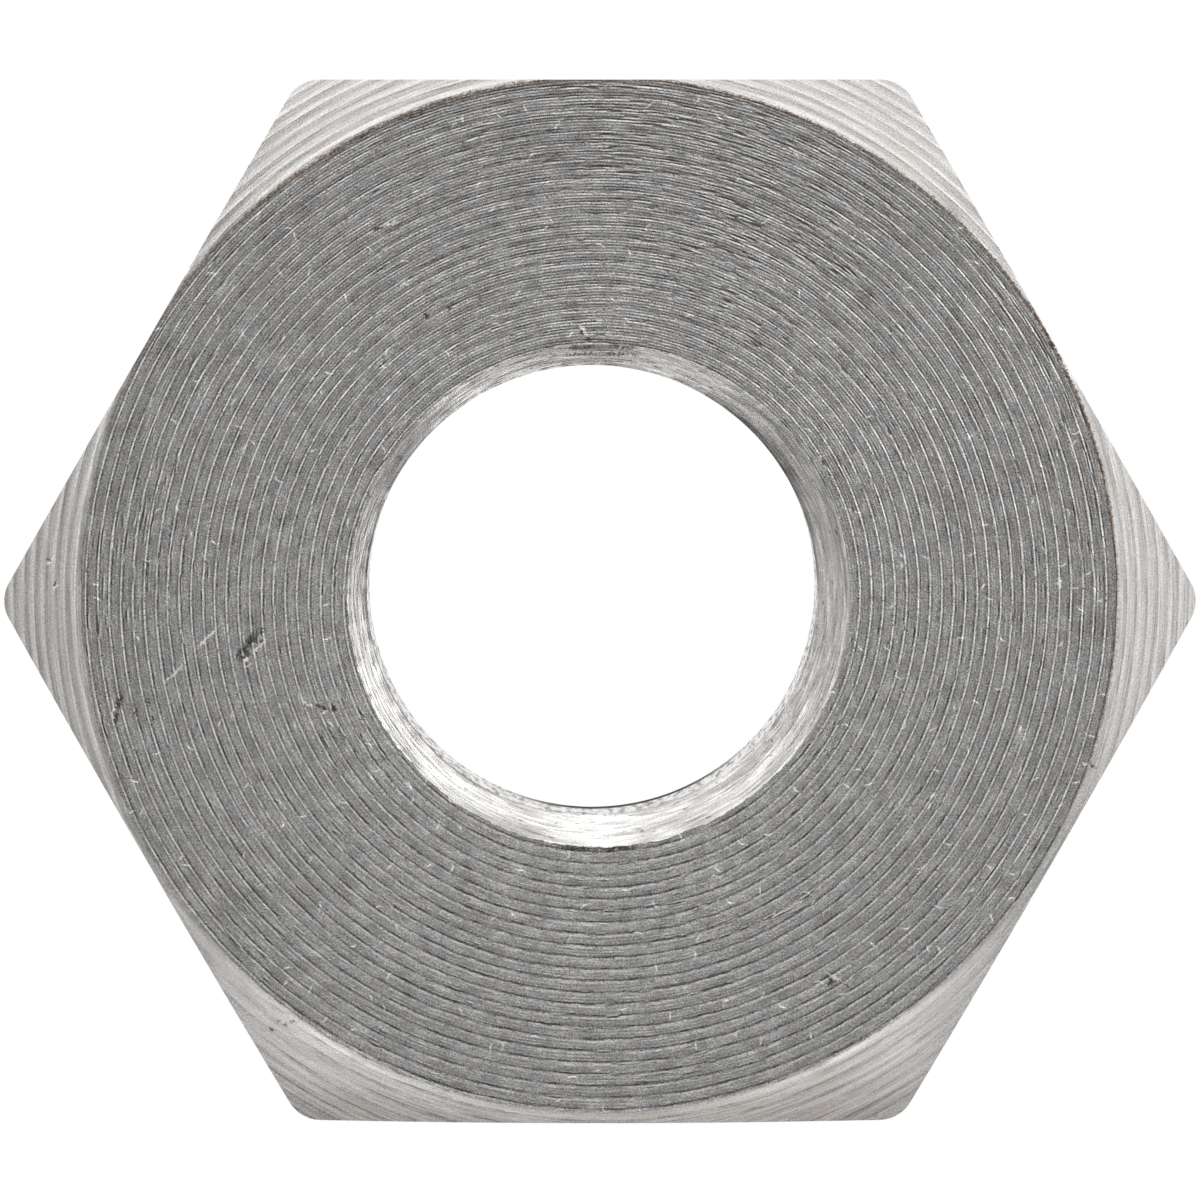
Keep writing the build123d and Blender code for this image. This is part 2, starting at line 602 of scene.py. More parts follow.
    def dress(self, nut: bpy.types.Object) -> None:
        """Gives each surface of the nut the finish that its making left."""
        mouth, edge = self.mouth_radius, self.tube_face_radius
        face_marks = tuple(mark for mark in MARKS if mouth <= mark.radius < edge + 0.1)
        chamfer_marks = tuple(mark for mark in MARKS if mark.radius > edge - 0.15)
        mouth_marks = tuple(mark for mark in MARKS if mark.radius < mouth + 0.05)
        finishes = {
            Zone.FACED: FacedSteel(),
            Zone.CHAMFERED: ChamferedSteel(),
            Zone.COUNTERSUNK: CountersunkSteel(),
            Zone.BORED: BoredSteel(),
            Zone.THREADED: ThreadedSteel(),
            Zone.DRAWN: DrawnSteel(),
            Zone.MARKED_FACED: FacedSteel(name="faced free-cutting steel, scarred", marks=face_marks),
            Zone.MARKED_CHAMFERED: ChamferedSteel(
                name="turned chamfer steel, scarred", marks=chamfer_marks
            ),
            Zone.MARKED_COUNTERSUNK: CountersunkSteel(name="countersunk steel, scarred", marks=mouth_marks),
        }
        for zone in Zone:
            nut.data.materials.append(finishes[zone].material())
        marked = {
            Zone.FACED: Zone.MARKED_FACED,
            Zone.CHAMFERED: Zone.MARKED_CHAMFERED,
            Zone.COUNTERSUNK: Zone.MARKED_COUNTERSUNK,
        }
        centres = np.empty(3 * len(nut.data.polygons), np.float32)
        nut.data.polygons.foreach_get("center", centres)
        centres = centres.reshape(-1, 3).astype(float) / MM
        scarred = np.zeros(len(centres), bool)
        for mark in MARKS:
            scarred |= mark.gap(centres[:, :2]) < 1.5 * mark.width + self.mark_margin
        scarred &= centres[:, 2] > self.nut_length - self.marked_depth
        for face, near_mark in zip(nut.data.polygons, scarred):
            zone = self._zone(face.center / MM, face.normal)
            face.material_index = (marked.get(zone, zone) if near_mark else zone).value

    def _zone(self, centre: Vector, normal: Vector) -> Zone:
        """Says which surface a face belongs to, by its place and where it points."""
        radius = math.hypot(centre.x, centre.y)
        upright = abs(normal.z) < 0.05
        if radius > self.flat_reach and upright:
            return Zone.DRAWN
        if centre.z > self.nut_length - self.face_depth and radius < self.tube_face_radius:
            return Zone.FACED
        if centre.z < self.face_depth and radius > ThreadBand.mouth_radius:
            return Zone.FACED
        if radius > self.thread_face_radius - 0.01:
            return Zone.CHAMFERED
        if centre.z > self.mouth_bottom:
            return Zone.COUNTERSUNK
        if centre.z > self.thread_bore_depth:
            return Zone.BORED
        return Zone.THREADED


class TurnedCoordinates:
    """Node sockets that say where a point lies on a turned part, worked out from its Object coordinates.

    Attributes:
        place: the point, in millimetres.
        flat: the same point with its height left out.
        height: its height above the threaded end, in millimetres.
        radius: its distance from the axis, in millimetres.
        turn: its angle about the axis, in turns.
        rightward: 1 on the side towards +X, -1 on the opposite side.
        rearward: 1 on the side towards +Y, -1 on the opposite side.
        around: (cosine, sine, radius), for patterns that follow a face or a cone.
        along: (cosine, sine, height), for patterns that follow a bore.
    """

    def __init__(self, tree: bpy.types.NodeTree) -> None:
        """Adds the nodes to a material's tree."""
        self.tree = tree
        source = add_node(tree, "TexCoord").outputs["Object"]
        scaled = add_node(tree, "VectorMath", {0: source, "Scale": 1 / MM}, operation="SCALE")
        self.place = scaled.outputs[0]
        parts = add_node(tree, "SeparateXYZ", {0: self.place})
        flat = add_node(tree, "CombineXYZ", {0: parts.outputs[0], 1: parts.outputs[1]})
        self.flat = flat.outputs[0]
        self.height = parts.outputs[2]
        reach = add_node(tree, "VectorMath", {0: flat.outputs[0]}, operation="LENGTH")
        self.radius = reach.outputs["Value"]
        angle = add_node(tree, "Math", {0: parts.outputs[1], 1: parts.outputs[0]}, operation="ARCTAN2")
        turn = add_node(tree, "Math", {0: angle.outputs[0], 1: 1 / FULL_TURN}, operation="MULTIPLY")
        self.turn = turn.outputs[0]
        unit = add_node(tree, "VectorMath", {0: flat.outputs[0]}, operation="NORMALIZE")
        facing = add_node(tree, "SeparateXYZ", {0: unit.outputs[0]})
        self.rightward, self.rearward = facing.outputs[0], facing.outputs[1]
        self.around = add_node(
            tree, "CombineXYZ", {0: facing.outputs[0], 1: facing.outputs[1], 2: self.radius}
        ).outputs[0]
        self.along = add_node(
            tree, "CombineXYZ", {0: facing.outputs[0], 1: facing.outputs[1], 2: parts.outputs[2]}
        ).outputs[0]

    def math(self, operation: str, first, second=0.0, third=0.0) -> bpy.types.NodeSocket:
        """Adds a Math node.

        Args:
            operation: the node's operation.
            first: socket or number.
            second: socket or number.
            third: socket or number.

        Returns:
            The result's socket.
        """
        return add_node(self.tree, "Math", {0: first, 1: second, 2: third}, operation=operation).outputs[0]

    def clamped(self, value, gain: float, offset: float) -> bpy.types.NodeSocket:
        """Multiplies a value by a gain, adds an offset and keeps the result between 0 and 1."""
        return add_node(
            self.tree, "Math", {0: value, 1: gain, 2: offset}, operation="MULTIPLY_ADD", use_clamp=True
        ).outputs[0]

    def vary(self, level, pattern, gain: float) -> bpy.types.NodeSocket:
        """Adds a pattern that is 0.5 on average to a level, and leaves the level's average as it is."""
        return self.math("MULTIPLY_ADD", pattern, gain, self.math("SUBTRACT", level, gain / 2))

    def bearing(self) -> bpy.types.NodeSocket:
        """Angle about the axis from +X towards +Y, in turns from 0 to 1."""
        return self.math("FRACT", self.math("ADD", self.turn, 1.0))

    def streaks(
        self, base, length: float, width: float, seed: float, detail: float = 1.0
    ) -> bpy.types.NodeSocket:
        """Adds a noise drawn out along the cut.

        Args:
            base: the around or along socket.
            length: a streak's length as a share of the radius.
            width: a streak's width in millimetres.
            seed: where in the noise the pattern is taken from.
            detail: octaves of finer streaks.

        Returns:
            The noise's socket, about 0.5 on average.
        """
        stretched = add_node(
            self.tree,
            "VectorMath",
            {0: base, 1: (1 / length, 1 / length, 1 / width), 2: (seed, seed * 0.7, seed * 1.3)},
            operation="MULTIPLY_ADD",
        )
        return add_node(
            self.tree,
            "TexNoise",
            {"Vector": stretched.outputs[0], "Scale": 1.0, "Detail": detail, "Roughness": 0.6},
        ).outputs["Fac"]

    def speckle(self, size: float, seed: float, detail: float = 1.0) -> bpy.types.NodeSocket:
        """Adds an even-grained noise of a given grain size in millimetres."""
        moved = add_node(self.tree, "VectorMath", {0: self.place, 1: (seed, seed, seed)}, operation="ADD")
        return add_node(
            self.tree, "TexNoise", {"Vector": moved.outputs[0], "Scale": 1 / size, "Detail": detail}
        ).outputs["Fac"]

    def burrs(
        self, cell: float, length: float, width: float, share: float, seed: float
    ) -> bpy.types.NodeSocket:
        """Adds short curved burrs and nicks in all directions, at most one in each cell of the face.

        Args:
            cell: spacing of the cells in millimetres.
            length: half the length of a burr in millimetres.
            width: half its width in millimetres.
            share: how many of the cells hold one, from 0 to 1.
            seed: where in the pattern the cells are taken from.

        Returns:
            Socket that is 1 on a burr's middle line and 0 away from it.
        """
        tree = self.tree
        point = add_node(
            tree,
            "VectorMath",
            {0: self.place, 1: (1 / cell, 1 / cell, 0.0), 2: (seed, seed * 1.7, 0.0)},
            operation="MULTIPLY_ADD",
        )
        cells = add_node(
            tree, "TexVoronoi", {"Vector": point.outputs[0], "Scale": 1.0}, voronoi_dimensions="2D"
        )
        offset = add_node(
            tree, "VectorMath", {0: point.outputs[0], 1: cells.outputs["Position"]}, operation="SUBTRACT"
        )
        chance = add_node(tree, "SeparateColor", {0: cells.outputs["Color"]})
        lean = self.math("MULTIPLY", chance.outputs[0], FULL_TURN)
        turned = add_node(
            tree, "VectorRotate", {"Vector": offset.outputs[0], "Angle": lean}, rotation_type="Z_AXIS"
        )
        parts = add_node(tree, "SeparateXYZ", {0: turned.outputs[0]})
        bend = self.math("MULTIPLY_ADD", chance.outputs[1], 6.0, -3.0)
        bowed = self.math("MULTIPLY", self.math("MULTIPLY", parts.outputs[0], parts.outputs[0]), bend)
        across = self.math("ABSOLUTE", self.math("SUBTRACT", parts.outputs[1], bowed))
        across = self.math("MULTIPLY", across, cell / width)
        along = self.math("MULTIPLY", self.math("ABSOLUTE", parts.outputs[0]), cell / length)
        inside = self.math("SUBTRACT", 1.0, self.math("MAXIMUM", across, along))
        present = self.math("LESS_THAN", chance.outputs[2], share)
        return self.math("MULTIPLY", self.math("MAXIMUM", inside, 0.0), present)

    def marked(self, tone, dark: str, bright: str, marks: tuple[Mark, ...]) -> bpy.types.NodeSocket:
        """Colours placed marks over a tone: torn ones dark, rubbed ones bright, with ragged edges.

        Args:
            tone: socket of the colour below the marks.
            dark: sRGB hex colour of torn metal.
            bright: sRGB hex colour of bare bright metal.
            marks: the marks that lie on this surface; without any, the tone stays as it is.

        Returns:
            The colour's socket.
        """
        if not marks:
            return tone
        ragged = add_node(self.tree, "TexNoise", {"Vector": self.place, "Scale": 1 / 0.05, "Detail": 2.0})
        point = add_node(
            self.tree,
            "VectorMath",
            {0: ragged.outputs["Color"], 1: (0.14, 0.14, 0.0), 2: self.flat},
            operation="MULTIPLY_ADD",
        ).outputs[0]
        point = add_node(
            self.tree, "VectorMath", {0: point, 1: (0.07, 0.07, 0.0)}, operation="SUBTRACT"
        ).outputs[0]
        for shade in (0.0, 1.0):
            chosen = [mark for mark in marks if mark.tone == shade]
            gap = None
            for mark in chosen:
                reach = self._reach(point, mark)
                gap = reach if gap is None else self.math("MINIMUM", gap, reach)
            if gap is not None:
                share = self.ramp(gap, ((0.0, 0.95), (0.6, 0.8), (1.0, 0.0)))
                if shade < 0.5:
                    crumbs = self.ramp(self.speckle(0.05, 71.0, 1.0), ((0.36, 0.15), (0.46, 1.0)))
                    share = self.math("MULTIPLY", share, crumbs)
                tone = self.mix(share, tone, bright if shade else dark)
        return tone

    def _reach(self, point, mark: Mark) -> bpy.types.NodeSocket:
        """Distance from a mark's centre, as a share of the spindle that the mark is: 1 on its outline."""
        run_x, run_y = mark.end[0] - mark.start[0], mark.end[1] - mark.start[1]
        centre = ((mark.start[0] + mark.end[0]) / 2, (mark.start[1] + mark.end[1]) / 2, 0.0)
        spindle = add_node(
            self.tree,
            "Mapping",
            {
                "Vector": point,
                "Location": centre,
                "Rotation": (0.0, 0.0, math.atan2(run_y, run_x)),
                "Scale": (math.hypot(run_x, run_y) / 2 + mark.width, mark.width * 1.5, 1.0),
            },
            vector_type="TEXTURE",
        )
        reach = add_node(self.tree, "VectorMath", {0: spindle.outputs[0]}, operation="LENGTH")
        return reach.outputs["Value"]

    def torn_edge(self, edge: float) -> bpy.types.NodeSocket:
        """Adds the ragged line torn along the face's outer edge, strongest from the top to the right.

        Args:
            edge: radius of the edge in millimetres.

        Returns:
            Socket that is 1 on the torn metal and 0 away from it.
        """
        ragged = self.math("MULTIPLY_ADD", self.speckle(0.05, 17.0, 2.0), 0.20, self.radius)
        gap = self.math("ABSOLUTE", self.math("SUBTRACT", ragged, edge + 0.095))
        line = self.clamped(gap, -30.0, 1.15)
        strength = self.ramp(
            self.bearing(), ((0.0, 0.65), (0.05, 0.85), (0.36, 0.85), (0.46, 0.2), (0.9, 0.2), (1.0, 0.65))
        )
        return self.math("MULTIPLY", line, strength)

    def ramp(self, value, stops: tuple[tuple[float, float], ...]) -> bpy.types.NodeSocket:
        """Adds a curve through a few points, drawn as a colour ramp in grey.

        Args:
            value: the socket to be mapped.
            stops: pairs of position and value, at most 32.

        Returns:
            The mapped value's socket.
        """
        return self._colour_ramp(value, [(place, (level, level, level, 1.0)) for place, level in stops])

    def tone(self, value, stops: tuple[tuple[float, str], ...]) -> bpy.types.NodeSocket:
        """Adds a colour ramp through sRGB hex colours, given as pairs of position and colour."""
        return self._colour_ramp(value, [(place, srgb(colour)) for place, colour in stops])

    def _colour_ramp(self, value, stops: list[tuple[float, tuple]]) -> bpy.types.NodeSocket:
        """Adds a colour ramp with a stop for each pair of position and linear colour."""
        node = add_node(self.tree, "ValToRGB", {0: value})
        elements = node.color_ramp.elements
        while len(elements) < len(stops):
            elements.new(0.5)
        for element, (position, _) in zip(elements, stops):
            element.position = position
        for element, (position, colour) in zip(elements, stops):
            element.position = position
            element.color = colour
        return node.outputs["Color"]

    def mix(self, share, first, second) -> bpy.types.NodeSocket:
        """Mixes two colours, each a socket or an sRGB hex string."""
        first, second = (srgb(c) if isinstance(c, str) else c for c in (first, second))
        node = add_node(self.tree, "Mix", data_type="RGBA")
        for name, source in ((0, share), (6, first), (7, second)):
            if isinstance(source, bpy.types.NodeSocket):
                self.tree.links.new(source, node.inputs[name])
            else:
                node.inputs[name].default_value = source
        return node.outputs[2]

    def relief(self, parts) -> bpy.types.NodeSocket:
        """Adds one bump out of several patterns.

        Args:
            parts: for each pattern its socket, 0 to 1, and the height of its relief in microns.

        Returns:
            The normal's socket.
        """
        total = 0.0
        for height, depth in parts:
            total = self.math("MULTIPLY_ADD", height, depth, total)
        bump = add_node(self.tree, "Bump", {"Height": total, "Distance": MICRON, "Strength": 1.0})
        return bump.outputs[0]


@dataclass(frozen=True)
class SteelFinish:
    """Bare free-cutting steel. Each kind of surface is a finish of its own."""

    name: str = "steel"
    steel: str = "c4c3c1"
    oxide: str = "4a4441"
    tint: str = "b9a99f"
    torn: str = "65503f"
    roughness: float = 0.34
    marks: tuple[Mark, ...] = ()

    def material(self) -> bpy.types.Material:
        """Makes the material."""
        material = bpy.data.materials.new(self.name)
        material.use_nodes = True
        tree = material.node_tree
        shader = tree.nodes["Principled BSDF"]
        shader.inputs["Metallic"].default_value = 1.0
        shader.inputs["Roughness"].default_value = self.roughness
        shader.inputs["Base Color"].default_value = srgb(self.steel)
        at = TurnedCoordinates(tree)
        for name, socket in self.surface(at).items():
            tree.links.new(socket, shader.inputs[name])
        return material

    def surface(self, at: TurnedCoordinates) -> dict[str, bpy.types.NodeSocket]:
        """Builds the pattern of the surface.

        Args:
            at: where the point lies on the part.

        Returns:
            For each of the shader's inputs that varies, its socket.
        """
        raise NotImplementedError


@dataclass(frozen=True)
class FacedSteel(SteelFinish):
    """Steel faced on a lathe: lines round the axis, a ridge at each feed, torn flecks along the grooves."""

    name: str = "faced free-cutting steel"
    steel: str = "a3a2a0"
    burnished: str = "efeeec"
    oxide: str = "3f3c3a"
    tint: str = "a08c80"
    blue: str = "8b949c"
    roughness: float = 0.30
    feed: float = 0.2134
    first_crest: float = 4.744
    waver: float = 0.06
    line_depth: float = 1.8
    long_depth: float = 3.0
    short_depth: float = 2.0
    grain_depth: float = 2.5
    long_tone: float = 0.75
    short_tone: float = 0.45
    grain_tone: float = 0.5
    # Crests are painted pale, partly as clean metal and partly as a painted highlight; grooves dark, partly
    # oxide and partly painted shade.
    crest_metal_and_highlight_tone: float = 0.80
    groove_oxide_and_shade_tone: float = 0.35
    fleck_cut: float = 0.66
    tint_share: float = 0.5
    mottle_tone: float = 0.45
    burr_tone: float = 0.55
    burr_depth: float = 3.0
    torn_share: float = 0.9
    lifted_share: float = 0.6
    rim_dulling: float = 0.08
    rear_dulling: float = 0.055
    edge: float = 9.425

    # On the half towards +Y each feed has fine lines painted pale as highlights, and painted shade on one
    # side of each ridge.
    chip_lines: float = 4.0
    chip_highlight_tone: float = 0.15
    flank_shade_tone: float = 0.10

    # On the half towards -Y each ridge has a painted highlight on its crest, a plain land and painted shade
    # in its groove: shares of the feed and how pale the steel is painted there, 0.5 being plain.
    front_highlights_and_shade = (
        (0.0, 0.72), (0.05, 0.78), (0.2, 0.54), (0.7, 0.45), (0.84, 0.17), (0.94, 0.45), (1.0, 0.72),
    )

    def surface(self, at: TurnedCoordinates) -> dict[str, bpy.types.NodeSocket]:
        """Builds the faced surface: see SteelFinish.surface."""
        share = self._share(at)
        long_lines = at.streaks(at.around, 0.12, 0.026, 3.0, 2.0)
        short_lines = at.streaks(at.around, 0.006, 0.030, 11.0, 1.0)
        grain = at.speckle(0.026, 5.0, 0.0)
        burrs = at.burrs(0.47, 0.10, 0.022, 0.26, 4.0)
        level = self._level(at, share, long_lines, short_lines, grain)
        level = at.math("MULTIPLY_ADD", burrs, self.burr_tone, level)
        tone = at.tone(level, ((0.0, self.oxide), (0.5, self.steel), (1.0, self.burnished)))
        for colour, seed in ((self.tint, 41.0), (self.blue, 47.0)):
            patches = at.ramp(at.streaks(at.around, 0.02, 0.07, seed, 1.0), ((0.5, 0.0), (0.75, 1.0)))
            tone = at.mix(at.math("MULTIPLY", patches, self.tint_share), tone, colour)
        torn, lifted = self._flecks(at, share)
        tone = at.mix(at.math("MULTIPLY", lifted, self.lifted_share), tone, self.burnished)
        tone = at.mix(at.math("MULTIPLY", torn, self.torn_share), tone, self.oxide)
        tone = at.mix(at.torn_edge(self.edge), tone, self.torn)
        tone = at.marked(tone, self.oxide, self.burnished, self.marks)
        rough = at.math("MULTIPLY_ADD", grain, 0.2, self.roughness - 0.1)
        relief = at.relief((
            (long_lines, self.long_depth),
            (short_lines, self.short_depth),
            (self._fine_lines(at, share), self.line_depth),
            (grain, self.grain_depth),
            (burrs, self.burr_depth),
        ))
        return {"Base Color": tone, "Roughness": rough, "Normal": relief}

    def _share(self, at: TurnedCoordinates) -> bpy.types.NodeSocket:
        """Share of the feed, from one crest to the next, along the spiral, which wavers a little."""
        turns = at.math("MULTIPLY_ADD", at.radius, 1 / self.feed, -self.first_crest / self.feed)
        spiral = at.math("SUBTRACT", turns, at.turn)
        waver = at.math("MULTIPLY_ADD", at.speckle(0.8, 7.0, 1.0), 2 * self.waver, -self.waver)
        return at.math("FRACT", at.math("ADD", spiral, waver))

    def _fine_lines(self, at: TurnedCoordinates, share) -> bpy.types.NodeSocket:
        """A few lines to each feed, scored by a chipped edge, deepest on the rear half of the face."""
        waver = at.math("MULTIPLY_ADD", at.streaks(at.around, 0.1, 0.1, 61.0, 1.0), 0.7, -0.05)
        phase = at.math("MULTIPLY_ADD", share, self.chip_lines, waver)
        wave = at.math("SINE", at.math("MULTIPLY", phase, FULL_TURN))
        strength = at.math("MULTIPLY_ADD", at.rearward, 0.35, 0.65)
        return at.math("MULTIPLY_ADD", at.math("MULTIPLY", wave, strength), 0.5, 0.5)

    def _level(self, at: TurnedCoordinates, share, long_lines, short_lines, grain) -> bpy.types.NodeSocket:
        """Tone of the steel: 0.5 is clean metal, lower is oxide and dirt, higher is burnished metal; it
        also holds painted highlights and painted shade along the feed.
        """
        # Painted highlight on each crest and painted shade in each groove, mixed with clean metal and
        # oxide, strongest on the sides towards +X and -X.
        crest = at.ramp(
            share, ((0.0, 1.0), (0.04, 0.9), (0.075, 0.0), (0.94, 0.0), (0.97, 0.9), (1.0, 1.0))
        )
        beads = at.streaks(at.around, 0.03, 0.12, 53.0, 1.0)
        beads = at.ramp(beads, ((0.3, 0.5), (0.55, 0.85), (0.75, 1.0)))
        crest = at.math("MULTIPLY", crest, beads)
        groove = at.ramp(
            share,
            (
                (0.10, 0.0), (0.14, 1.0), (0.19, 1.0), (0.24, 0.0),
                (0.74, 0.0), (0.80, 1.0), (0.87, 1.0), (0.92, 0.0),
            ),
        )
        broken = at.ramp(at.streaks(at.around, 0.05, 0.15, 31.0, 2.0), ((0.35, 0.1), (0.6, 1.0)))
        groove = at.math("MULTIPLY", groove, broken)
        side = at.math("MULTIPLY", crest, self.crest_metal_and_highlight_tone)
        side = at.math("MULTIPLY_ADD", groove, -self.groove_oxide_and_shade_tone, side)
        lit_sides = at.math("MULTIPLY_ADD", at.rearward, at.math("MULTIPLY", at.rearward, -1.0), 1.0)
        lines = at.math("MULTIPLY", side, lit_sides)
        unevenness = at.math("MULTIPLY_ADD", broken, 1.5, 0.25)
        jitter = at.math("MULTIPLY_ADD", at.streaks(at.around, 0.03, 0.15, 97.0, 1.0), 0.2, -0.1)
        share = at.math("FRACT", at.math("ADD", share, jitter))
        # On the half towards +Y: painted highlights on fine lines and painted shade on one side of each
        # ridge.
        chip_highlights = at.math("COSINE", at.math("MULTIPLY", share, self.chip_lines * FULL_TURN))
        flank_shade = at.math("SINE", at.math("MULTIPLY", share, FULL_TURN))
        rear = at.math("MULTIPLY_ADD", flank_shade, -self.flank_shade_tone, at.math("MULTIPLY", chip_highlights, self.chip_highlight_tone))
        # On the half towards -Y: painted highlights on the crests and painted shade in the grooves.
        front = at.math("SUBTRACT", at.ramp(share, self.front_highlights_and_shade), 0.5)
        for pattern, sign in ((rear, 1.0), (front, -1.0)):
            half = at.math("MAXIMUM", at.math("MULTIPLY", at.rearward, sign), 0.0)
            line = at.math("MULTIPLY", pattern, unevenness)
            lines = at.math("MULTIPLY_ADD", line, at.math("MULTIPLY", half, half), lines)
        # The steel is duller towards the rim, most of all on the half towards +Y.
        rim = at.clamped(at.radius, 0.25, -0.25 * 5.5)
        dull = at.math("MULTIPLY", rim, at.math("MULTIPLY_ADD", at.rearward, 0.4, 0.6))
        level = at.math("MULTIPLY_ADD", long_lines, self.long_tone, 0.5 - self.long_tone / 2)
        level = at.vary(level, short_lines, self.short_tone)
        level = at.vary(level, grain, self.grain_tone)
        mottle = at.streaks(at.around, 0.05, 0.25, 91.0, 2.0)
        level = at.vary(level, mottle, self.mottle_tone)
        level = at.math("MULTIPLY_ADD", dull, -self.rim_dulling, level)
        level = at.math("MULTIPLY_ADD", at.rearward, -self.rear_dulling, level)
        return at.math("ADD", lines, level)

    def _flecks(self, at: TurnedCoordinates, share) -> tuple[bpy.types.NodeSocket, bpy.types.NodeSocket]:
        """Torn dashes along the grooves, thickest at the upper right, and the lips lifted beside them."""
        crowd = at.streaks(at.around, 0.5, 1.2, 29.0, 2.0)
        thick = add_node(
            at.tree, "VectorMath", {0: at.flat, 1: (2.4, 7.4, 0.0)}, operation="DISTANCE"
        ).outputs["Value"]
        thick = at.clamped(thick, -0.30, 1.0)
        near_groove = at.ramp(
            share, ((0.0, 0.75), (0.1, 0.3), (0.5, 0.0), (0.7, 0.35), (0.86, 1.0), (1.0, 0.75))
        )
        base = at.math("MULTIPLY_ADD", near_groove, 0.08, -0.215)
        base = at.math("MULTIPLY_ADD", crowd, 0.35, base)
        base = at.math("MULTIPLY_ADD", thick, 0.18, base)
        cut = ((0.0, 0.0), (self.fleck_cut, 0.0), (self.fleck_cut + 0.04, 1.0))
        torn = at.ramp(at.math("ADD", at.streaks(at.around, 0.07, 0.034, 23.0, 2.0), base), cut)
        dots = at.math("MULTIPLY_ADD", near_groove, 0.10, at.speckle(0.045, 83.0, 1.0))
        dots = at.ramp(dots, ((0.70, 0.0), (0.76, 0.8)))
        torn = at.math("MAXIMUM", torn, dots)
        outward = add_node(at.tree, "VectorMath", {0: at.around, 1: (0.0, 0.0, 0.035)}, operation="ADD")
        lips = at.streaks(outward.outputs[0], 0.07, 0.034, 23.0, 2.0)
        lifted = at.ramp(at.math("ADD", lips, base), cut)
        return torn, lifted


@dataclass(frozen=True)
class ChamferedSteel(SteelFinish):
    """Steel turned at an angle with a round nose: soft scallops with painted light where they rise and
    painted shade where they fall, a fine grain.
    """

    name: str = "turned chamfer steel"
    steel: str = "c0bfbd"
    burnished: str = "eeecea"
    dull: str = "8a8784"
    bare: str = "f8f6f4"
    roughness: float = 0.34
    grain: float = 0.03
    edge: float = 9.425
    feed: float = 0.1936
    tip_tone: float = 0.40

    def surface(self, at: TurnedCoordinates) -> dict[str, bpy.types.NodeSocket]:
        """Builds the turned cone: see SteelFinish.surface."""
        lines = at.streaks(at.around, 0.2, 0.035, 7.0, 2.0)
        grain = at.speckle(self.grain, 2.0, 1.0)
        patches = at.streaks(at.around, 0.1, 0.3, 17.0, 3.0)
        turns = at.math("MULTIPLY_ADD", at.radius, 1 / self.feed, -self.edge / self.feed)
        share = at.math("FRACT", at.math("SUBTRACT", turns, at.turn))
        # Painted light and shade across each scallop, strongest on the left and weakest on the right.
        band = at.ramp(
            share,
            ((0.0, 0.5), (0.05, 1.0), (0.33, 0.9), (0.62, 0.1), (0.93, 0.0), (1.0, 0.5)),
        )
        # The corners towards -Y are duller at their tips, and their scallops are fainter than the others.
        front = at.ramp(at.math("MULTIPLY", at.rearward, -1.0), ((0.4, 0.0), (0.8, 1.0)))
        middle = at.ramp(
            at.math("MULTIPLY", at.rearward, -1.0),
            ((0.45, 0.5), (0.72, 1.0), (0.84, 0.85), (0.93, 0.3), (1.0, 0.0)),
        )
        tip = at.ramp(at.math("MULTIPLY_ADD", at.radius, 0.8, -0.8 * 9.6), ((0.0, 0.0), (1.0, 1.0)))
        rear = at.math("SUBTRACT", 1.0, front)
        depth = at.math("MULTIPLY", rear, at.math("MULTIPLY_ADD", at.rightward, -0.10, 0.15))
        depth = at.math("MULTIPLY_ADD", front, 0.08, depth)
        band = at.math("MULTIPLY", at.math("SUBTRACT", band, 0.5), depth)
        level = at.math("MULTIPLY_ADD", lines, 1.0, at.math("MULTIPLY_ADD", grain, 0.9, -0.47))
        level = at.math("ADD", band, level)
        # The first scallop, next to the face, is worn bright, more so towards the lower left.
        rim = at.math("ABSOLUTE", at.math("SUBTRACT", at.radius, self.edge + 0.09))
        rim = at.clamped(rim, -14.0, 1.3)
        bright_by_bearing = at.math("MULTIPLY_ADD", at.rightward, -0.06, 0.10)
        bright_by_bearing = at.math("MULTIPLY_ADD", at.rearward, -0.06, bright_by_bearing)
        level = at.math("MULTIPLY_ADD", rim, bright_by_bearing, level)
        # Painted shade on the chamfer straight towards -Y, and painted light on either side of it.
        level = at.vary(level, middle, 0.6)
        level = at.math("MULTIPLY_ADD", at.math("MULTIPLY", tip, front), -self.tip_tone, level)
        tone = at.tone(level, ((0.0, self.dull), (0.5, self.steel), (1.0, self.burnished)))
        patches = at.ramp(patches, ((0.4, 0.0), (0.7, 1.0)))
        tone = at.mix(at.math("MULTIPLY", patches, 0.25), tone, self.tint)
        tone = at.mix(at.torn_edge(self.edge), tone, self.torn)
        tone = at.marked(tone, self.oxide, self.bare, self.marks)
        rough = at.math("MULTIPLY_ADD", grain, 0.2, self.roughness - 0.1)
        relief = at.relief(((lines, 5.0), (grain, 4.0)))
        return {"Base Color": tone, "Roughness": rough, "Normal": relief}


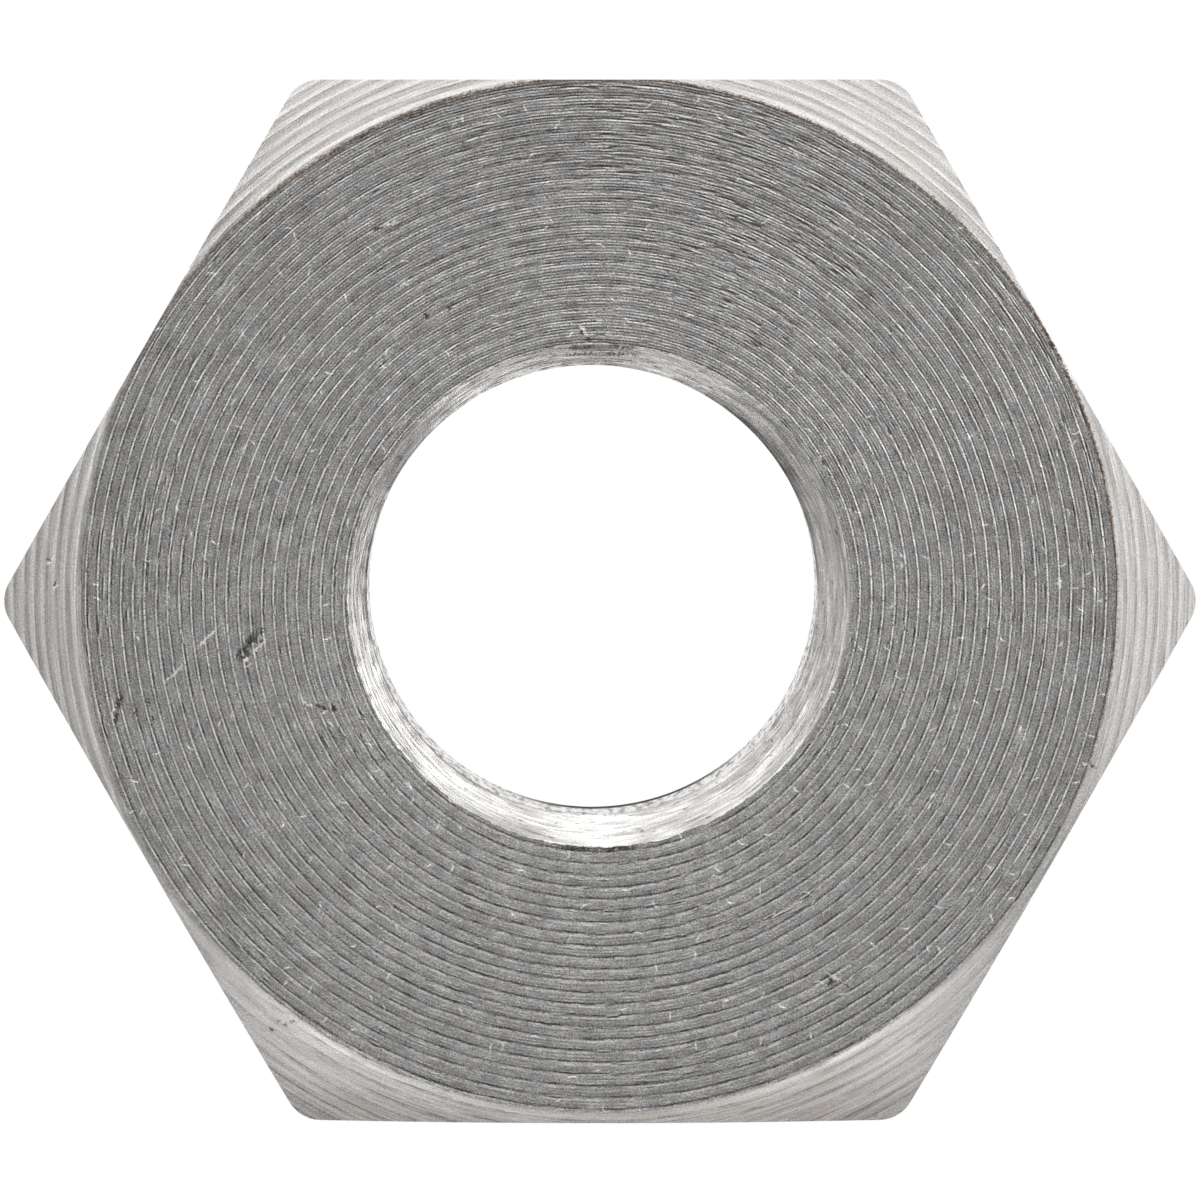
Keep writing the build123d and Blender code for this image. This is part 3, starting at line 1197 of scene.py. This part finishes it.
@dataclass(frozen=True)
class CountersunkSteel(SteelFinish):
    """Steel countersunk with some chatter: streaks round the cone, with painted highlights and painted
    shade that change round the axis.
    """

    name: str = "countersunk steel"
    steel: str = "bcbab7"
    burnished: str = "f6f4f2"
    dull: str = "7d7a77"
    shaded: str = "55524f"
    roughness: float = 0.27
    bore_radius: float = 4.1
    bore_run_out: tuple[float, float, float] = (-0.127, 0.093, 0.0)

    # Turns about the axis and how bright the cone is painted there, as painted highlights and shade: dull
    # at the top, bright at the upper left, the lower left and the bottom.
    bright_by_bearing = (
        (0.0, 0.22), (0.2, 0.22), (0.25, 0.0), (0.3, 0.22), (0.38, 0.7), (0.47, 0.45),
        (0.57, 0.75), (0.7, 0.3), (0.75, 0.65), (0.8, 0.25), (1.0, 0.22),
    )

    def surface(self, at: TurnedCoordinates) -> dict[str, bpy.types.NodeSocket]:
        """Builds the countersunk cone: see SteelFinish.surface."""
        lines = at.streaks(at.around, 0.15, 0.04, 7.0, 2.0)
        broad = at.streaks(at.around, 0.5, 0.16, 27.0, 2.0)
        grain = at.speckle(0.03, 2.0, 1.0)
        # Painted highlights and painted shade round the cone.
        bright_by_bearing = at.ramp(at.bearing(), self.bright_by_bearing)
        level = at.math("MULTIPLY_ADD", lines, 1.2, at.math("MULTIPLY_ADD", grain, 0.5, -0.45))
        level = at.vary(level, broad, 0.9)
        level = at.math("MULTIPLY_ADD", bright_by_bearing, 0.8, at.math("SUBTRACT", level, 0.15))
        tone = at.tone(level, ((0.0, self.dull), (0.5, self.steel), (0.9, self.burnished)))
        flecks = at.ramp(at.streaks(at.around, 0.05, 0.05, 19.0, 1.5), ((0.66, 0.0), (0.74, 1.0)))
        tone = at.mix(at.math("MULTIPLY", flecks, 0.7), tone, self.oxide)
        tone = at.mix(self._rim(at), tone, self.shaded)
        tone = at.marked(tone, self.oxide, self.burnished, self.marks)
        rough = at.math("MULTIPLY_ADD", grain, 0.2, self.roughness - 0.1)
        relief = at.relief(((lines, 12.0), (grain, 4.0)))
        return {"Base Color": tone, "Roughness": rough, "Normal": relief}

    def _rim(self, at: TurnedCoordinates) -> bpy.types.NodeSocket:
        """Dark line on the edge of the bore: thin on the left, a wider crescent at the upper right."""
        reach = add_node(at.tree, "VectorMath", {0: at.flat, 1: self.bore_run_out}, operation="DISTANCE")
        gap = at.math("SUBTRACT", reach.outputs["Value"], self.bore_radius)
        thin = at.clamped(gap, -30.0, 1.2)
        wide = at.clamped(gap, -14.0, 1.4)
        turn = at.bearing()
        left = at.ramp(turn, ((0.40, 0.0), (0.46, 0.8), (0.66, 0.9), (0.70, 0.2), (0.95, 0.2), (1.0, 0.0)))
        right = at.ramp(turn, ((0.0, 0.0), (0.03, 0.5), (0.08, 0.7), (0.15, 0.6), (0.20, 0.0)))
        return at.math("MAXIMUM", at.math("MULTIPLY", thin, left), at.math("MULTIPLY", wide, right))


@dataclass(frozen=True)
class BoredSteel(SteelFinish):
    """Steel drilled and bored: bright, with fine rings along the wall and a painted dark reflection by the
    seat.
    """

    name: str = "bored steel"
    steel: str = "f0eeec"
    stain: str = "9c9895"
    reflection_colour: str = "3c4443"
    roughness: float = 0.18

    # Heights above the threaded end, in millimetres, at which the painted dark reflection begins on the
    # seat, the seat meets the bore, and the reflection ends on the bore's wall.
    reflection_start: float = 12.6
    seat_top: float = 13.488
    reflection_end: float = 14.35

    def surface(self, at: TurnedCoordinates) -> dict[str, bpy.types.NodeSocket]:
        """Builds the bored wall: see SteelFinish.surface."""
        lines = at.streaks(at.along, 0.5, 0.08, 9.0, 2.0)
        streaks = at.streaks(at.along, 0.03, 0.8, 33.0, 2.0)
        grain = at.speckle(0.05, 2.0, 1.0)
        rings = at.math("MULTIPLY", at.ramp(lines, ((0.4, 0.0), (0.7, 1.0))), 0.10)
        tone = at.mix(rings, self.steel, self.tint)
        stains = at.math("MULTIPLY", at.ramp(streaks, ((0.5, 0.0), (0.65, 1.0))), 0.6)
        tone = at.mix(stains, tone, self.stain)
        # Painted dark reflection round the seat's edge, on the side towards -Y, where the wall is also made
        # rough.
        span = self.reflection_end - self.reflection_start
        crown = (self.seat_top - self.reflection_start) / span
        reflection = at.math("MULTIPLY_ADD", at.height, 1 / span, -self.reflection_start / span)
        reflection = at.ramp(reflection, ((0.0, 0.0), (crown, 1.0), (crown + 0.7 * (1 - crown), 0.8), (1.0, 0.0)))
        front = at.ramp(at.bearing(), ((0.67, 0.15), (0.73, 1.0), (0.82, 1.0), (0.88, 0.15)))
        reflection = at.math("MULTIPLY", reflection, front)
        tone = at.mix(reflection, tone, self.reflection_colour)
        rough = at.math("MULTIPLY_ADD", at.ramp(streaks, ((0.4, 0.0), (0.65, 1.0))), 0.4, self.roughness)
        rough = at.math("MAXIMUM", rough, reflection)
        relief = at.relief(((lines, 4.0), (grain, 3.0)))
        return {"Base Color": tone, "Roughness": rough, "Normal": relief}


@dataclass(frozen=True)
class ThreadedSteel(SteelFinish):
    """Steel cut with a tap: bright flanks with fine lines along the helix, and painted shade in the roots.
    """

    name: str = "tapped steel"
    root: str = "7d7874"
    roughness: float = 0.28

    def surface(self, at: TurnedCoordinates) -> dict[str, bpy.types.NodeSocket]:
        """Builds the tapped thread: see SteelFinish.surface."""
        lines = at.streaks(at.along, 0.6, 0.06, 13.0, 2.0)
        depth = at.math("MULTIPLY_ADD", at.radius, 1.0, -ThreadBand.minor_radius)
        # Painted shade towards the thread's roots.
        root = at.ramp(depth, ((0.5, 0.0), (0.81, 1.0)))
        tone = at.mix(at.math("MULTIPLY", root, 0.5), self.steel, self.root)
        rough = at.math("MULTIPLY_ADD", lines, 0.15, self.roughness - 0.07)
        relief = at.relief(((lines, 3.0),))
        return {"Base Color": tone, "Roughness": rough, "Normal": relief}


@dataclass(frozen=True)
class DrawnSteel(SteelFinish):
    """Cold-drawn bar: smooth flats with fine lines along the bar's length."""

    name: str = "cold-drawn bar steel"
    steel: str = "bdbbb8"
    stain: str = "a29c96"
    score: str = "94908c"
    roughness: float = 0.33

    def surface(self, at: TurnedCoordinates) -> dict[str, bpy.types.NodeSocket]:
        """Builds the drawn flat: see SteelFinish.surface."""
        lines = self._drawn_out(at, across=12.0, along=0.35, roughness=0.65)
        patches = self._drawn_out(at, across=0.9, along=0.12, roughness=0.6)
        stains = at.math("MULTIPLY", at.ramp(patches, ((0.45, 0.0), (0.7, 1.0))), 0.25)
        tone = at.mix(stains, self.steel, self.stain)
        scores = at.math("MULTIPLY", at.ramp(lines, ((0.45, 0.0), (0.65, 1.0))), 0.35)
        tone = at.mix(scores, tone, self.score)
        rough = at.math("MULTIPLY_ADD", lines, 0.2, self.roughness - 0.1)
        relief = at.relief(((lines, 4.0),))
        return {"Base Color": tone, "Roughness": rough, "Normal": relief}

    def _drawn_out(
        self, at: TurnedCoordinates, across: float, along: float, roughness: float
    ) -> bpy.types.NodeSocket:
        """Adds a noise stretched along the bar, from its cells to a millimetre across the bar and along."""
        scale = (across, across, along)
        stretched = add_node(at.tree, "VectorMath", {0: at.place, 1: scale}, operation="MULTIPLY")
        settings = {"Vector": stretched.outputs[0], "Scale": 1.0, "Detail": 4.0, "Roughness": roughness}
        return add_node(at.tree, "TexNoise", settings).outputs["Fac"]


@dataclass(frozen=True)
class SoftLamp:
    """A soft box. Angles are in degrees: off_axis from straight above, bearing from +X towards +Y."""

    name: str
    off_axis: float
    bearing: float
    width: float
    height: float
    radiance: float
    distance: float = 0.40

    def build(self, target: Vector) -> bpy.types.Object:
        """Hangs the lamp so that it faces the target, hidden from the camera itself."""
        lean, bearing = math.radians(self.off_axis), math.radians(self.bearing)
        reach = math.sin(lean)
        back = Vector((reach * math.cos(bearing), reach * math.sin(bearing), math.cos(lean)))
        lamp = bpy.data.lights.new(self.name, "AREA")
        lamp.shape = "RECTANGLE"
        lamp.size = self.width
        lamp.size_y = self.height
        lamp.energy = self.radiance * math.pi * self.width * self.height
        hung = bpy.data.objects.new(self.name, lamp)
        hung.location = target + back * self.distance
        hung.rotation_euler = back.to_track_quat("Z", "Y").to_euler()
        hung.visible_camera = False
        bpy.context.scene.collection.objects.link(hung)
        return hung


@dataclass
class Studio:
    """White table, soft lamps and a camera nearly straight above the nut.

    Lengths are in metres, apart from the sensor's width, which is in millimetres.
    """

    table_size: float = 6.0
    table_white: float = 1.0
    room: float = 0.28
    aim: Vector = field(default_factory=lambda: Vector((0.0204, -0.0744, 16.5)) * MM)
    camera_lean: tuple[float, float] = (-0.00055, 0.0399)
    camera_distance: float = 0.230
    frame_width: float = 0.021818
    sensor: float = 36.0
    lamps: tuple[SoftLamp, ...] = (
        SoftLamp("rear lamp", 41.0, 86.0, 0.70, 0.52, 1.25),
        SoftLamp("right lamp", 46.0, 2.0, 0.40, 0.42, 1.05),
        SoftLamp("left lamp", 46.0, 178.0, 0.40, 0.42, 0.60),
        SoftLamp("front lamp", 67.0, 270.0, 0.62, 0.16, 1.40),
        SoftLamp("overhead lamp", 16.0, 270.0, 0.70, 0.28, 0.15),
    )

    def build(self) -> None:
        """Sets up the table, the lamps, the room's light and the camera."""
        self._table()
        for lamp in self.lamps:
            lamp.build(self.aim)
        self._room()
        self._camera()

    def _table(self) -> None:
        """Adds the table: pure white where it is seen, also in the steel, and matt to all other light."""
        deselect_everything()
        bpy.ops.mesh.primitive_plane_add(size=self.table_size)
        table = bpy.context.object
        table.name = "table"
        material = bpy.data.materials.new("white table")
        material.use_nodes = True
        tree = material.node_tree
        tree.nodes.remove(tree.nodes["Principled BSDF"])
        paint = add_node(tree, "BsdfDiffuse", {"Color": (0.9, 0.9, 0.9, 1.0)})
        glow = add_node(tree, "Emission", {"Color": (1.0, 1.0, 1.0, 1.0), "Strength": 1.0})
        path = add_node(tree, "LightPath")
        seen = add_node(
            tree,
            "Math",
            {0: path.outputs["Is Camera Ray"], 1: path.outputs["Is Glossy Ray"]},
            operation="MAXIMUM",
        )
        seen = add_node(
            tree, "Math", {0: seen.outputs[0], 1: path.outputs["Is Transmission Ray"]}, operation="MAXIMUM"
        )
        share = add_node(tree, "Math", {0: seen.outputs[0], 1: self.table_white}, operation="MULTIPLY")
        mixed = add_node(tree, "MixShader", {0: share.outputs[0], 1: paint.outputs[0], 2: glow.outputs[0]})
        tree.links.new(mixed.outputs[0], tree.nodes["Material Output"].inputs["Surface"])
        table.data.materials.append(material)

    def _room(self) -> None:
        """Lights the scene evenly from all round, as a pale room does."""
        world = bpy.data.worlds.new("room")
        world.use_nodes = True
        world.node_tree.nodes["Background"].inputs["Color"].default_value = (1.0, 1.0, 1.0, 1.0)
        world.node_tree.nodes["Background"].inputs["Strength"].default_value = self.room
        bpy.context.scene.world = world

    def _camera(self) -> None:
        """Puts the camera nearly straight above the tube's end, with +Y upwards in the frame."""
        back = Vector((*self.camera_lean, 1.0)).normalized()
        right = Vector((0.0, 1.0, 0.0)).cross(back).normalized()
        up = back.cross(right)
        lens = bpy.data.cameras.new("camera")
        lens.sensor_width = self.sensor
        lens.lens = self.sensor * self.camera_distance / self.frame_width
        lens.clip_start = 0.01
        lens.clip_end = 10.0
        camera = bpy.data.objects.new("camera", lens)
        camera.location = self.aim + back * self.camera_distance
        camera.rotation_euler = Matrix((right, up, back)).transposed().to_euler()
        bpy.context.scene.collection.objects.link(camera)
        bpy.context.scene.camera = camera


def main() -> None:
    """Builds the nut, dresses it and sets up the studio round it."""
    logging.basicConfig(level=logging.INFO, format="%(message)s")
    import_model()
    nut = TubeNut()
    piece = nut.build()
    nut.dress(piece)
    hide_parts("nut")
    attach(piece, "root")
    Studio().build()
    bpy.context.scene.view_settings.view_transform = "Standard"


if __name__ == "__main__":
    main()
